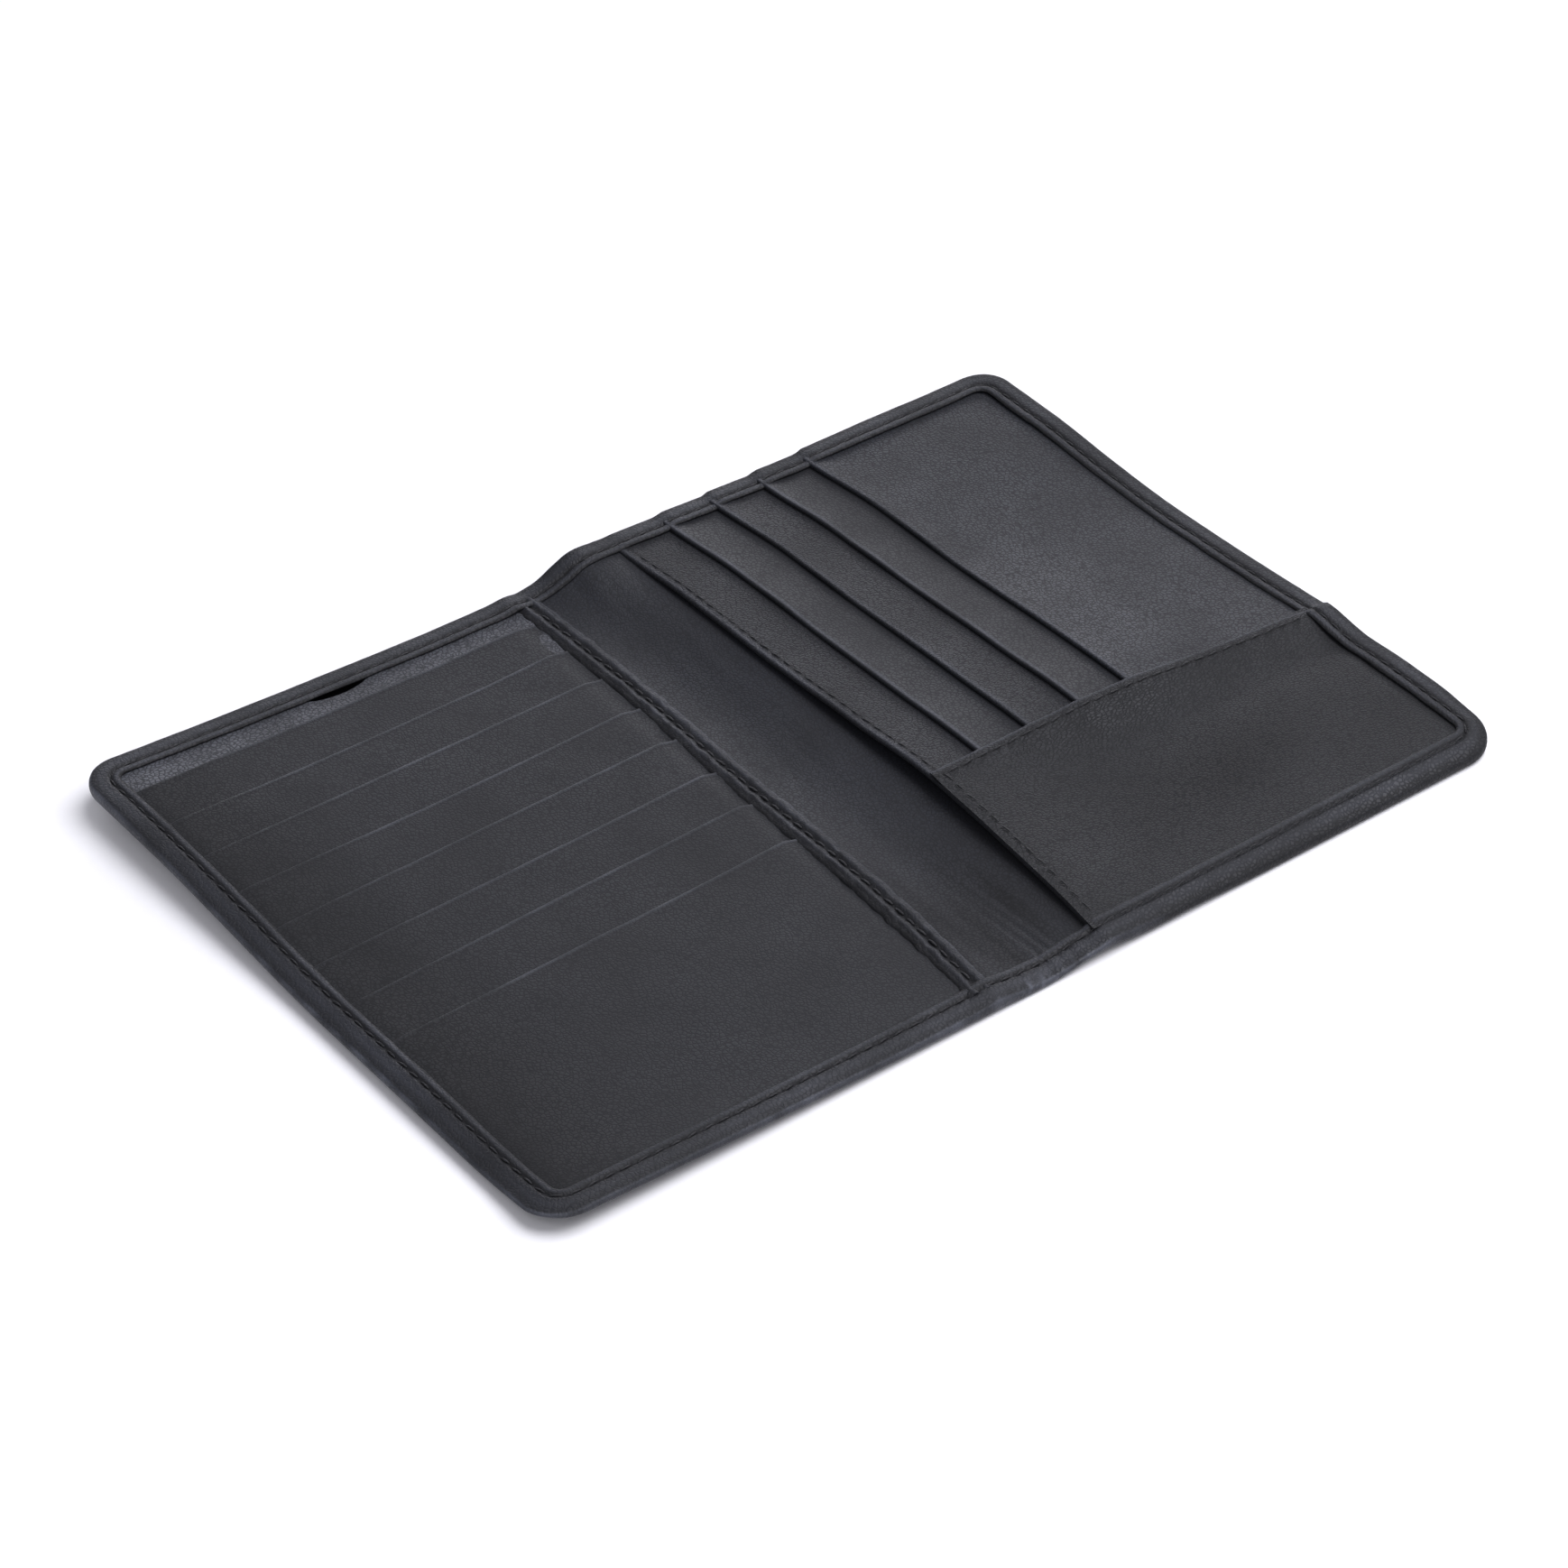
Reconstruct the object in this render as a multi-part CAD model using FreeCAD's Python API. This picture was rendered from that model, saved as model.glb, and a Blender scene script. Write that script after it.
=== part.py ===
import FreeCAD, Part
import math
import os

os.makedirs("parts", exist_ok=True)

# Travel document organizer: a leather wallet that opens like a book.
# It lies open on its cover with the pockets facing up.
# +X runs across the open wallet, +Y along the spine, +Z up.
# The origin is the middle of the resting face. Sizes are in millimetres.

# Overall
OPEN_WIDTH = 217.0
LENGTH = 152.0
CORNER_RADIUS = 8.0
HALF_WIDTH = OPEN_WIDTH / 2
HALF_LENGTH = LENGTH / 2

# Two fold lines, one each side of the spine strip
FOLD_X = 5.0
FOLD_GAP = 0.15

# Leather thicknesses
COVER_T = 0.9
BOARD_T = 0.4
PANEL_T = 0.4
PIECE_GAP = 0.1

# Turned edge of the cover
HEM_WIDTH = 5.5
HEM_T = 0.6
HEM_WALL = 1.0
TUCK = 2.0
HEM_TOP_LEFT = 4.6
HEM_TOP_SPINE = 3.0
NOTCH_LENGTH = 15.0
NOTCH_DEPTH = 2.5
NOTCH_X = -54.5

# Eight stepped card pockets on the left half, mouths facing +Y
CARD_POCKETS = 8
FIRST_MOUTH_Y = 65.6
MOUTH_PITCH = 12.05
CARD_POCKET_DEPTH = 46.0
CARD_POCKET_T = 0.35
CARD_MOUTH_Z = 3.95

# Binding strip that closes the spine side of the card pockets
STRIP_OUTER_X = -13.2
STRIP_INNER_X = -8.4
STRIP_TUCK = 2.4

# Slip pocket and four side pockets on the right half, mouths facing -X
BASE_X = 13.2
BASE_Z = 3.4
BASE_T = 0.7
SIDE_POCKETS = 4
FIRST_SIDE_X = 24.9
SIDE_PITCH = 11.6
SIDE_T = 0.7

# Ticket pocket across the near end of the right half, mouth facing +Y
TICKET_Y = -23.5
TICKET_T = 0.6
TICKET_SLOPE_END_Y = -40.0
SIDE_POCKET_END_Y = -28.0

# Stitches
STITCH_PITCH = 3.4
STITCH_LENGTH = 2.5
STITCH_WIDTH = 0.5
STITCH_HEIGHT = 0.3
STITCH_INSET = 3.4

# Heights worked out from the thicknesses
BOARD_Z = COVER_T
PANEL_Z = COVER_T + BOARD_T + PIECE_GAP
PANEL_TOP = PANEL_Z + PANEL_T
SIDE_STEP = SIDE_T + PIECE_GAP
FIRST_SIDE_Z = BASE_Z + BASE_T + PIECE_GAP
TICKET_Z = BASE_Z + BASE_T + PIECE_GAP
INNER_HALF_LENGTH = HALF_LENGTH - HEM_WIDTH
TUCKED_HALF_LENGTH = INNER_HALF_LENGTH + TUCK
TUCKED_X = HALF_WIDTH - HEM_WIDTH + TUCK


def save(name, shape):
    """Write one named piece."""
    shape.exportStep("parts/" + name + ".step")


def box(x0, x1, y0, y1, z0, z1):
    """A rectangular block between two corners."""
    corner = FreeCAD.Vector(x0, y0, z0)
    return Part.makeBox(x1 - x0, y1 - y0, z1 - z0, corner)


def rounded_half(side, inset, z0, z1):
    """Slab over one half of the wallet with its two outer corners rounded."""
    radius = CORNER_RADIUS - inset
    slab = box(
        FOLD_X + FOLD_GAP,
        HALF_WIDTH - inset,
        -HALF_LENGTH + inset,
        HALF_LENGTH - inset,
        z0,
        z1,
    )
    corners = []
    for edge in slab.Edges:
        middle = edge.CenterOfMass
        upright = abs(edge.BoundBox.ZLength - (z1 - z0)) < 1e-6
        if upright and middle.x > HALF_WIDTH - inset - 1e-6:
            corners.append(edge)
    slab = slab.makeFillet(radius, corners)
    if side < 0:
        slab = slab.mirror(FreeCAD.Vector(0, 0, 0), FreeCAD.Vector(1, 0, 0))
    return slab


def section(points, y):
    """Closed outline in a plane across the wallet, from (x, z) corners."""
    corners = [FreeCAD.Vector(x, y, z) for x, z in points]
    return Part.makePolygon(corners + corners[:1])


def lofted(stations):
    """Solid through outlines at several places along the spine."""
    wires = [section(points, y) for y, points in stations]
    return Part.makeLoft(wires, True, True)


def under_roof(roof, floor_z):
    """Outline between a floor height and a roof given as (x, z) corners."""
    return [(roof[0][0], floor_z)] + roof + [(roof[-1][0], floor_z)]


def climbing_line(start_x, base_z, share, end_x):
    """Line of (x, z) corners that steps up at the mouth of each side pocket.

    share is how much of each pocket's thickness the line climbs, 0 to 1.
    """
    corners = [(start_x, base_z)]
    for k in range(SIDE_POCKETS):
        mouth_x = FIRST_SIDE_X + k * SIDE_PITCH
        corners.append((mouth_x - 2.2, base_z + k * SIDE_STEP * share))
        corners.append((mouth_x - 0.4, base_z + (k + 1) * SIDE_STEP * share))
    corners.append((end_x, base_z + SIDE_POCKETS * SIDE_STEP * share))
    return corners


def lifted(line, amount):
    """The same line of (x, z) corners moved up, or down if negative."""
    return [(x, z + amount) for x, z in line]


def height_on(line, x):
    """Height of a line of (x, z) corners at one place across the wallet."""
    for (x0, z0), (x1, z1) in zip(line, line[1:]):
        if x0 <= x <= x1:
            return z0 + (z1 - z0) * (x - x0) / (x1 - x0)
    return line[-1][1]


def stitch_row(path, height_at):
    """Stitches laid end to end along a path of (x, y) points on a surface."""
    stitches = []
    for (x0, y0), (x1, y1) in zip(path, path[1:]):
        x = (x0 + x1) / 2
        y = (y0 + y1) / 2
        turn = math.degrees(math.atan2(y1 - y0, x1 - x0))
        z = max(height_at(x0, y0), height_at(x, y), height_at(x1, y1)) + 0.02
        stitch = box(
            -STITCH_LENGTH / 2,
            STITCH_LENGTH / 2,
            -STITCH_WIDTH / 2,
            STITCH_WIDTH / 2,
            0,
            STITCH_HEIGHT,
        )
        stitch.rotate(FreeCAD.Vector(0, 0, 0), FreeCAD.Vector(0, 0, 1), turn)
        stitch.translate(FreeCAD.Vector(x, y, z))
        stitches.append(stitch)
    return stitches


def straight_path(start, end):
    """Evenly spaced points from start to end, one stitch apart."""
    run = math.hypot(end[0] - start[0], end[1] - start[1])
    count = round(run / STITCH_PITCH)
    points = []
    for i in range(count + 1):
        along = i / count
        x = start[0] + along * (end[0] - start[0])
        y = start[1] + along * (end[1] - start[1])
        points.append((x, y))
    return points


def hem_path(side):
    """Points one stitch apart round the three sewn sides of one half."""
    row_x = HALF_WIDTH - STITCH_INSET
    row_y = HALF_LENGTH - STITCH_INSET
    radius = CORNER_RADIUS - STITCH_INSET
    centre_x = row_x - radius
    centre_y = row_y - radius
    points = straight_path((FOLD_X + 1.0, row_y), (centre_x, row_y))
    points.append((centre_x + radius * 0.7071, centre_y + radius * 0.7071))
    points += straight_path((row_x, centre_y), (row_x, -centre_y))
    points.append((centre_x + radius * 0.7071, -centre_y - radius * 0.7071))
    points += straight_path((centre_x, -row_y), (FOLD_X + 1.0, -row_y))
    return [(side * x, y) for x, y in points]


# ---- Cover: one outer leather, divided at the two fold lines ----
save("cover_left", rounded_half(-1, 0, 0, COVER_T))
save("cover_right", rounded_half(1, 0, 0, COVER_T))
SPINE_X = FOLD_X - FOLD_GAP
save("cover_spine", box(-SPINE_X, SPINE_X, -HALF_LENGTH, HALF_LENGTH, 0, COVER_T))

# ---- Stiffening boards between cover and lining ----
save("stiffener_left", rounded_half(-1, HEM_WALL + 0.2, BOARD_Z, BOARD_Z + BOARD_T))
save("stiffener_right", rounded_half(1, HEM_WALL + 0.2, BOARD_Z, BOARD_Z + BOARD_T))

# ---- Lining panels: the back wall of the pockets on each half ----
save("back_panel_right", rounded_half(1, HEM_WALL + 0.2, PANEL_Z, PANEL_TOP))
LINING_Y = HALF_LENGTH - HEM_WALL - 0.2
save("spine_lining", box(-SPINE_X, SPINE_X, -LINING_Y, LINING_Y, PANEL_Z, PANEL_TOP))

# The left panel's far edge is free: notes go in behind it, past a thumb notch
left_panel = rounded_half(-1, HEM_WALL + 0.2, PANEL_Z, PANEL_TOP)
NOTE_MOUTH_Y = INNER_HALF_LENGTH - 0.2
left_panel = left_panel.cut(box(-HALF_WIDTH, 0, NOTE_MOUTH_Y, HALF_LENGTH, 0, 5))
NOTCH_RADIUS = (NOTCH_LENGTH ** 2 / 4 + NOTCH_DEPTH ** 2) / (2 * NOTCH_DEPTH)
notch_y = NOTE_MOUTH_Y - NOTCH_DEPTH + NOTCH_RADIUS
notch = Part.makeCylinder(NOTCH_RADIUS, 5, FreeCAD.Vector(NOTCH_X, notch_y, 0))
save("back_panel_left", left_panel.cut(notch))

# ---- Card pockets 1 to 8: each leans on the one behind it ----
POCKET_X0 = -TUCKED_X
POCKET_X1 = STRIP_OUTER_X + STRIP_TUCK
POCKET_STEP = CARD_POCKET_T + PIECE_GAP
for number in range(1, CARD_POCKETS + 1):
    mouth_y = FIRST_MOUTH_Y - (number - 1) * MOUTH_PITCH
    if number < CARD_POCKETS:
        tail_y = mouth_y - CARD_POCKET_DEPTH
        tail_drop = CARD_POCKET_DEPTH * POCKET_STEP / MOUTH_PITCH
    else:
        tail_y = -TUCKED_HALF_LENGTH
        tail_drop = 0.0
    low_z = CARD_MOUTH_Z - CARD_POCKET_T
    profile = [
        FreeCAD.Vector(POCKET_X0, mouth_y, CARD_MOUTH_Z),
        FreeCAD.Vector(POCKET_X0, mouth_y, low_z),
        FreeCAD.Vector(POCKET_X0, tail_y, low_z - tail_drop),
        FreeCAD.Vector(POCKET_X0, tail_y, CARD_MOUTH_Z - tail_drop),
    ]
    face = Part.Face(Part.makePolygon(profile + profile[:1]))
    pocket = face.extrude(FreeCAD.Vector(POCKET_X1 - POCKET_X0, 0, 0))
    save("card_pocket_%d" % number, pocket)

# ---- Binding strip: a flat flange on the pockets and a wall down to the lining ----
STRIP_Y = INNER_HALF_LENGTH - 0.3
FLANGE_Z = HEM_TOP_LEFT - HEM_T
strip_flange = box(STRIP_OUTER_X, STRIP_INNER_X, -STRIP_Y, STRIP_Y, FLANGE_Z, HEM_TOP_LEFT)
strip_wall = box(
    STRIP_INNER_X - HEM_T,
    STRIP_INNER_X,
    -STRIP_Y,
    STRIP_Y,
    PANEL_TOP + 0.05,
    HEM_TOP_LEFT,
)
save("binding_strip", strip_flange.fuse(strip_wall).removeSplitter())

# ---- Hem of the left half: a wall round three sides and a flange turned inward ----
RAMP_START_X = STRIP_OUTER_X + STRIP_TUCK + 0.2
LEFT_ROOF = [
    (-HALF_WIDTH - 1, HEM_TOP_LEFT),
    (RAMP_START_X, HEM_TOP_LEFT),
    (-FOLD_X, HEM_TOP_SPINE),
]


def hem_half(side, roof_stations):
    """Turned edge round three sides of one half, following a roof surface."""
    ring = rounded_half(side, 0, COVER_T, 12)
    window = box(0, HALF_WIDTH - HEM_WIDTH, -INNER_HALF_LENGTH, INNER_HALF_LENGTH, 0, 13)
    if side < 0:
        window = window.mirror(FreeCAD.Vector(0, 0, 0), FreeCAD.Vector(1, 0, 0))
    ring = ring.cut(window)
    roof = lofted([(y, under_roof(line, 0)) for y, line in roof_stations])
    attic = [(y, under_roof(lifted(line, -HEM_T), 0)) for y, line in roof_stations]
    hollow = lofted(attic).common(rounded_half(side, HEM_WALL, 0, 12))
    return ring.common(roof).cut(hollow).removeSplitter()


LEFT_STATIONS = [(-HALF_LENGTH - 1, LEFT_ROOF), (HALF_LENGTH + 1, LEFT_ROOF)]
save("hem_left", hem_half(-1, LEFT_STATIONS))

# ---- Hem at the two ends of the spine strip ----
for name, side in (("hem_spine_far", 1), ("hem_spine_near", -1)):
    outer_y = side * HALF_LENGTH
    wall_y = side * (HALF_LENGTH - HEM_WALL)
    inner_y = side * INNER_HALF_LENGTH
    wall = box(
        -SPINE_X,
        SPINE_X,
        min(outer_y, wall_y),
        max(outer_y, wall_y),
        COVER_T,
        HEM_TOP_SPINE,
    )
    flange = box(
        -SPINE_X,
        SPINE_X,
        min(outer_y, inner_y),
        max(outer_y, inner_y),
        HEM_TOP_SPINE - HEM_T,
        HEM_TOP_SPINE,
    )
    save(name, wall.fuse(flange).removeSplitter())

# ---- Base panel: front wall of the slip pocket that takes a travel booklet ----
save(
    "base_panel",
    box(BASE_X, TUCKED_X, -TUCKED_HALF_LENGTH, TUCKED_HALF_LENGTH, BASE_Z, BASE_Z + BASE_T),
)

# ---- Side pockets 1 to 4: stacked flat, each mouth further from the spine ----
for number in range(1, SIDE_POCKETS + 1):
    mouth_x = FIRST_SIDE_X + (number - 1) * SIDE_PITCH
    z0 = FIRST_SIDE_Z + (number - 1) * SIDE_STEP
    save(
        "side_pocket_%d" % number,
        box(mouth_x, TUCKED_X, SIDE_POCKET_END_Y, TUCKED_HALF_LENGTH, z0, z0 + SIDE_T),
    )


# ---- Ticket pocket: lies on the base panel and climbs over the side pockets ----
def ticket_outline(share):
    """Cross-section of the ticket pocket, climbing by a share of the stack."""
    under = climbing_line(BASE_X, TICKET_Z, share, TUCKED_X)
    over = lifted(under, TICKET_T)
    return under + over[::-1]


ticket_stations = [
    (TICKET_Y, ticket_outline(1)),
    (SIDE_POCKET_END_Y - 0.5, ticket_outline(1)),
    (TICKET_SLOPE_END_Y, ticket_outline(0)),
    (-TUCKED_HALF_LENGTH, ticket_outline(0)),
]
save("ticket_pocket", lofted(ticket_stations))


# ---- Hem of the right half: it climbs over every layer sewn into it ----
def right_roof(base_z, share):
    """Roof line of the right hem, rising from the spine to the side pockets."""
    climb = climbing_line(BASE_X - 1.0, base_z, share, HALF_WIDTH + 1)
    return [(FOLD_X, HEM_TOP_SPINE)] + climb


ROOF_FAR = TICKET_Z + HEM_T
ROOF_NEAR = ROOF_FAR + TICKET_T + 0.05
RIGHT_STATIONS = [
    (-HALF_LENGTH - 1, right_roof(ROOF_NEAR, 0)),
    (TICKET_SLOPE_END_Y, right_roof(ROOF_NEAR, 0)),
    (SIDE_POCKET_END_Y - 0.5, right_roof(ROOF_NEAR, 1)),
    (TICKET_Y + 0.5, right_roof(ROOF_NEAR, 1)),
    (TICKET_Y + 4.0, right_roof(ROOF_FAR, 1)),
    (HALF_LENGTH + 1, right_roof(ROOF_FAR, 1)),
]
save("hem_right", hem_half(1, RIGHT_STATIONS))


def right_hem_height(x, y):
    """Height of the right hem's top face."""
    for (y0, roof0), (y1, roof1) in zip(RIGHT_STATIONS, RIGHT_STATIONS[1:]):
        if y0 <= y <= y1:
            share = (y - y0) / (y1 - y0)
            low = height_on(roof0, x)
            high = height_on(roof1, x)
            return low + share * (high - low)
    return HEM_TOP_SPINE


def left_hem_height(x, y):
    """Height of the left hem's top face."""
    return height_on(LEFT_ROOF, x)


# ---- Thread: rows of separate stitches lying on the leather ----
save("hem_thread_left", Part.makeCompound(stitch_row(hem_path(-1), left_hem_height)))
save("hem_thread_right", Part.makeCompound(stitch_row(hem_path(1), right_hem_height)))

spine_stitches = []
for side in (-1, 1):
    row_y = side * (HALF_LENGTH - STITCH_INSET)
    path = straight_path((-SPINE_X + 0.2, row_y), (SPINE_X - 0.2, row_y))
    spine_stitches += stitch_row(path, lambda x, y: HEM_TOP_SPINE)
save("hem_thread_spine", Part.makeCompound(spine_stitches))

binding_mid = (STRIP_OUTER_X + STRIP_INNER_X) / 2
binding_path = straight_path((binding_mid, -STRIP_Y), (binding_mid, STRIP_Y))
binding_row = stitch_row(binding_path, lambda x, y: HEM_TOP_LEFT)
save("binding_thread", Part.makeCompound(binding_row))

# One row down the spine side of the base panel, continued on the ticket pocket
BASE_ROW_X = BASE_X + 2.4
ROW_END_Y = INNER_HALF_LENGTH - 0.5
far_path = straight_path((BASE_ROW_X, TICKET_Y + 1.0), (BASE_ROW_X, ROW_END_Y))
near_path = straight_path((BASE_ROW_X, -ROW_END_Y), (BASE_ROW_X, TICKET_Y - 1.0))
base_row = stitch_row(far_path, lambda x, y: BASE_Z + BASE_T)
base_row += stitch_row(near_path, lambda x, y: TICKET_Z + TICKET_T)
save("base_thread", Part.makeCompound(base_row))


def ticket_height(x, y):
    """Height of the ticket pocket's face just inside its mouth."""
    return height_on(climbing_line(BASE_X, TICKET_Z, 1, TUCKED_X), x) + TICKET_T


ticket_row_y = TICKET_Y - 2.0
ticket_path = straight_path(
    (BASE_X + 4.5, ticket_row_y),
    (HALF_WIDTH - HEM_WIDTH - 1.0, ticket_row_y),
)
save("ticket_thread", Part.makeCompound(stitch_row(ticket_path, ticket_height)))
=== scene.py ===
# %% [markdown]
# # An open leather travel wallet
# The wallet lies open on a table: eight card pockets on the left, tall side pockets and a ticket
# pocket on the right, and one cover skin round the outside whose edges are turned in and stitched.
# Leather is a soft sheet, so every piece here starts as a flat grid and is then laid over one set
# of height maps. That keeps all the layers the right distance apart when the stack swells or sags.

# %% Load the frame
import math

import bmesh
import bpy
import numpy as np
from mathutils import Matrix, Vector


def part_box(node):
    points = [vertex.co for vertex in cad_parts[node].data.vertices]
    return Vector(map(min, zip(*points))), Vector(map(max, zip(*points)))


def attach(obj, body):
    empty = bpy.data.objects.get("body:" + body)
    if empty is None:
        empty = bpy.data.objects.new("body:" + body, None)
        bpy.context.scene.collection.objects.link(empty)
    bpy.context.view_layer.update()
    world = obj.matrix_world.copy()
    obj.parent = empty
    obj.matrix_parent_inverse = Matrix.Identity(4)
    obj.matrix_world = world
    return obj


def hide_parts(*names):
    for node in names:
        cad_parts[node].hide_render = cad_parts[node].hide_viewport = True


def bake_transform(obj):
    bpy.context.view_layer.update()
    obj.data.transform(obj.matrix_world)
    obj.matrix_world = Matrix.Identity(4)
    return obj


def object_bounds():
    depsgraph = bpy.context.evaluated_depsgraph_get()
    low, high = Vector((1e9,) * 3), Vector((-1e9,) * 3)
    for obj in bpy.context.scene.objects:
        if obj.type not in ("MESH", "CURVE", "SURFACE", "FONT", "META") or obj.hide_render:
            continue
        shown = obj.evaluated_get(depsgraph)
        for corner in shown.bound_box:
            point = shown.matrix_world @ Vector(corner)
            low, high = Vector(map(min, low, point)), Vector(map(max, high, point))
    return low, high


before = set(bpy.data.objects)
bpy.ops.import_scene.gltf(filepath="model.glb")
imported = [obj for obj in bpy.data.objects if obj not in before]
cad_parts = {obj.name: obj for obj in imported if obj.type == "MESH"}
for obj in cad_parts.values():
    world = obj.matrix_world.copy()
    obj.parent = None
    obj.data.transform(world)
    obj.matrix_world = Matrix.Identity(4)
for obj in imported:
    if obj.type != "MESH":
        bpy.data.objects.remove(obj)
cad_low, cad_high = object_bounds()
MM = 0.001
print("frame box in mm:", [round(c / MM, 1) for c in (*cad_low, *cad_high)])

# %% [markdown]
# ## Sizes from the frame
# The outline, the pocket mouths, the side pockets' lips, the ticket pocket and the binding strip are
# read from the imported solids, so they move when the solid model does. The rest, such as the swells
# and how far a panel runs on under its neighbour, is set here. Everything below is in millimetres.


# %% Read the driving sizes
def low_high(node):
    low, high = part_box(node)
    return [c / MM for c in low], [c / MM for c in high]


HALF_X = cad_high[0] / MM
HALF_Y = cad_high[1] / MM
CORNER = 8.0
STRIP_HALF = 2.4
STRIP_X = low_high("binding_strip")[1][0] - STRIP_HALF
SIDE_EDGE_X = [low_high(f"side_pocket_{k}")[0][0] for k in (1, 2, 3, 4)]
TICKET_Y = low_high("ticket_pocket")[1][1]
MOUTH_Y = [low_high(f"card_pocket_{k}")[1][1] for k in range(1, 9)]
PANEL_END = 72.5  # the panels run this far each way along the spine, tucked under the hem
print("half size", round(HALF_X, 1), round(HALF_Y, 1), "strip at", round(STRIP_X, 1))
print("side pockets at", [round(x, 1) for x in SIDE_EDGE_X])
print("card mouths at", [round(y, 1) for y in MOUTH_Y])

# %% [markdown]
# ## Height maps
# A used wallet never lies flat. Its far edge springs up over the fold, its outer corners lift, and
# the pocket stack is thickest in the middle. Each map is a small table of heights with a smooth
# surface drawn through it, which is quicker to tune than sculpting and gives every layer the same
# swells. `swell` draws one smooth line through values, and `height_map` does it both ways.


# %% Smooth lines and maps
def ramp(value, start, width):
    t = np.clip((np.asarray(value, float) - start) / width, 0.0, 1.0)
    return t * t * (3.0 - 2.0 * t)


def swell(knots, values, at):
    k = np.asarray(knots, float)
    v = np.asarray(values, float)
    slope = np.gradient(v, k, axis=0)
    at = np.clip(np.asarray(at, float), k[0], k[-1])
    i = np.clip(np.searchsorted(k, at) - 1, 0, len(k) - 2)
    gap = k[i + 1] - k[i]
    t = (at - k[i]) / gap
    pick = (lambda a, j: a[j]) if v.ndim == 1 else (lambda a, j: a[j, np.arange(len(at))])
    ends = pick(v, i) * (2 * t**3 - 3 * t**2 + 1) + pick(v, i + 1) * (3 * t**2 - 2 * t**3)
    lean = pick(slope, i) * (t**3 - 2 * t**2 + t) + pick(slope, i + 1) * (t**3 - t**2)
    return ends + lean * gap


def height_map(xs, ys, rows):
    def height(x, y):
        x = np.atleast_1d(np.asarray(x, float))
        y = np.atleast_1d(np.asarray(y, float))
        across = np.stack([swell(xs, row, x) for row in rows])
        return swell(ys, across, y)

    return height


def wobble(a, b, seed, size):
    """A soft irregular ripple between -1 and 1, about size mm from crest to crest."""
    total = np.zeros_like(np.asarray(a, float) + np.asarray(b, float))
    for j in range(6):
        turn = seed * 1.7 + j * 2.399
        pace = 2.0 * math.pi / (size * (0.6 + 0.23 * j))
        total = total + np.sin((a * math.cos(turn) + b * math.sin(turn)) * pace + seed * 3.1 + j * 1.3)
    return total / 3.2


print("halfway up a ramp", float(ramp(0.5, 0.0, 1.0)))

# %% [markdown]
# ## The lift of the cover
# The board inside each half is stiff, so the halves lift as wholes: the left half at its two outer
# corners, the right half along its far edge. All the layers above start from this lift. It could be
# bent in with a lattice, but a few smooth ramps in code are easier to match to a real wallet.


# %% The lift of the cover
def left_lift(x, y):
    """How far the left half rises off the table, most at its two outer corners."""
    far = 3.0 * ramp(y, -10.0, 60.0)
    near = 2.4 * np.clip((-50.0 - y) / 26.0, 0.0, 1.0) ** 2
    return (0.2 + far + near) * np.clip((-30.0 - x) / 78.0, 0.0, 1.0) ** 1.3


def right_lift(x, y):
    """The cover under the right half is sprung up along its far edge and humped near the fold."""
    hump = 1.5 * np.exp(-(((x - 10.0) / 8.0) ** 2)) + 0.6 * np.exp(-(((x - 31.0) / 10.0) ** 2))
    far = 2.7 + 0.9 * (1.0 - ramp(x, 4.0, 55.0))
    edge = ramp(y, 15.0, 55.0)
    near = ramp(-y, 30.0, 40.0)
    return ramp(x, -7.0, 12.0) * (hump * near * (1.0 - edge) + far * edge)


def under(x, y):
    """The outside of the cover. Its outer edges are pared thin, so they curl up off the table.

    Rounding to a thousandth of a millimetre keeps a black patch off the outside of the closed
    wallet. The likely cause is the humps, which shrink to almost nothing but never reach zero.
    """
    pared = np.maximum(1.1 * ramp(-x, 99.0, 9.0), 0.7 * ramp(-y, 66.0, 9.0) * ramp(-x, 5.0, 30.0))
    return np.round(left_lift(x, y) + right_lift(x, y) + pared, 3)


print("far left corner lifts", round(float(under(-108.0, 70.0)), 2), "mm")

# %% [markdown]
# ## The faces of the layers
# Each layer has a face of its own over the cover: the card pocket stack, the spine lining and the
# base panel. The lining and the base panel swell both ways, so theirs are tables: one row of heights
# across for each place along the spine, nearest row first.


# %% The faces of the layers
def card_plane(x, y):
    """The face of the card pocket stack."""
    soft = 0.10 * wobble(x, y, 3.0, 46.0) - 0.8 * ramp(-y, 35.0, 38.0)
    return 3.7 + left_lift(x, y) + soft


LINING = height_map(
    (-14, -9, -5, -1, 3, 8, 14, 24),
    (-76, -68, -45, 0, 40, 58, 68, 76),
    (
        (2.4, 2.3, 2.0, 1.9, 2.2, 2.9, 3.0, 2.4),
        (2.6, 2.4, 2.1, 1.9, 2.1, 2.7, 2.9, 2.4),
        (2.9, 2.6, 2.2, 2.0, 2.2, 2.8, 3.4, 3.2),
        (3.0, 2.8, 2.5, 2.5, 3.1, 4.1, 4.6, 4.2),
        (3.1, 2.9, 2.7, 2.9, 3.6, 4.9, 5.7, 4.6),
        (3.4, 3.2, 3.3, 3.9, 5.0, 6.0, 6.2, 5.2),
        (3.7, 3.5, 4.1, 5.3, 6.9, 7.4, 7.0, 6.4),
        (4.0, 3.9, 4.7, 6.7, 8.2, 8.1, 7.6, 7.2),
    ),
)
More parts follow.
